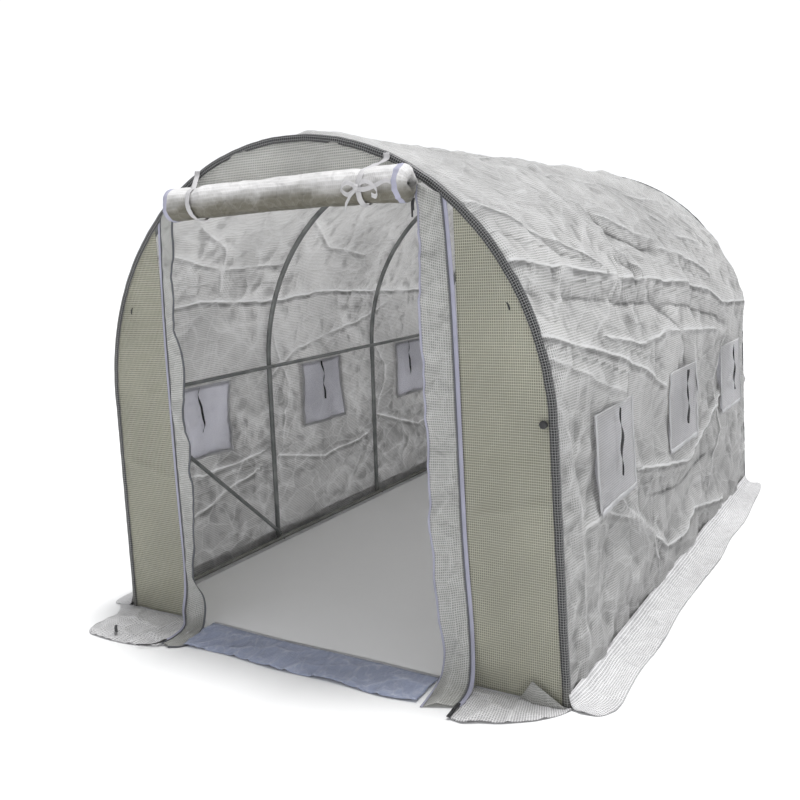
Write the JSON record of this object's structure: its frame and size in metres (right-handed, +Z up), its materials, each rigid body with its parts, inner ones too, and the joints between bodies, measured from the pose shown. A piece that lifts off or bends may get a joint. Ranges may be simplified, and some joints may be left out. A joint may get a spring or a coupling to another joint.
{
  "type": "polytunnel greenhouse",
  "caption": "Walk-in hooped garden tunnel with a film cover, side window flaps, a rolled-up zipped door and a loose ground skirt.",
  "frame": {"origin": "middle of the footprint, at ground level", "axes": "+Z up; the tunnel runs along Y with its doorway facing -Y; X runs across"},
  "size_m": [2.385, 3.565, 1.9565],
  "materials": {
    "steel_tube": "grey galvanised and painted steel tube, satin",
    "black_plastic": "matt black plastic",
    "woven_film": "translucent white woven polyethylene film",
    "grid_film": "clear film reinforced with a fine white thread grid",
    "zip_tape": "lavender zip tape",
    "rolled_film": "rolled translucent film",
    "ribbon": "soft white ribbon",
    "screen_film": "fine white screen",
    "flap_film": "milky film with pale hems",
    "skirt_film": "woven film lying on the ground",
    "sill_film": "bluish grey film lying on the ground"
  },
  "bodies": {
    "root": {"hoop_front_arc": "steel_tube", "hoop_second_arc": "steel_tube", "hoop_third_arc": "steel_tube", "hoop_back_arc": "steel_tube", "hoop_front_legs": "steel_tube", "hoop_second_legs": "steel_tube", "hoop_third_legs": "steel_tube", "hoop_back_legs": "steel_tube", "ridge_purlin": "steel_tube", "purlin_left": "steel_tube", "purlin_right": "steel_tube", "purlin_plugs": "black_plastic", "ground_tube_left": "steel_tube", "ground_tube_right": "steel_tube", "ground_tube_back": "steel_tube", "brace_left": "steel_tube", "brace_right": "steel_tube", "roof_cover": "woven_film", "wall_cover_left": "woven_film", "wall_cover_right": "woven_film", "back_panel": "woven_film", "front_panel_left": "grid_film", "front_panel_right": "grid_film", "front_panel_top": "grid_film", "door_strip_left": "grid_film", "door_strip_right": "grid_film", "zip_tape_left": "zip_tape", "zip_tape_right": "zip_tape", "door_roll": "rolled_film", "roll_tie_left": "ribbon", "roll_tie_right": "ribbon", "window_screens_left": "screen_film", "window_screens_right": "screen_film", "window_flap_left_front": "flap_film", "window_flap_left_middle": "flap_film", "window_flap_left_back": "flap_film", "window_flap_right_front": "flap_film", "window_flap_right_middle": "flap_film", "window_flap_right_back": "flap_film", "skirt_left": "skirt_film", "skirt_right": "skirt_film", "skirt_back": "skirt_film", "skirt_front_left": "skirt_film", "skirt_front_right": "skirt_film", "sill_flap": "sill_film"}
  },
  "joints": []
}
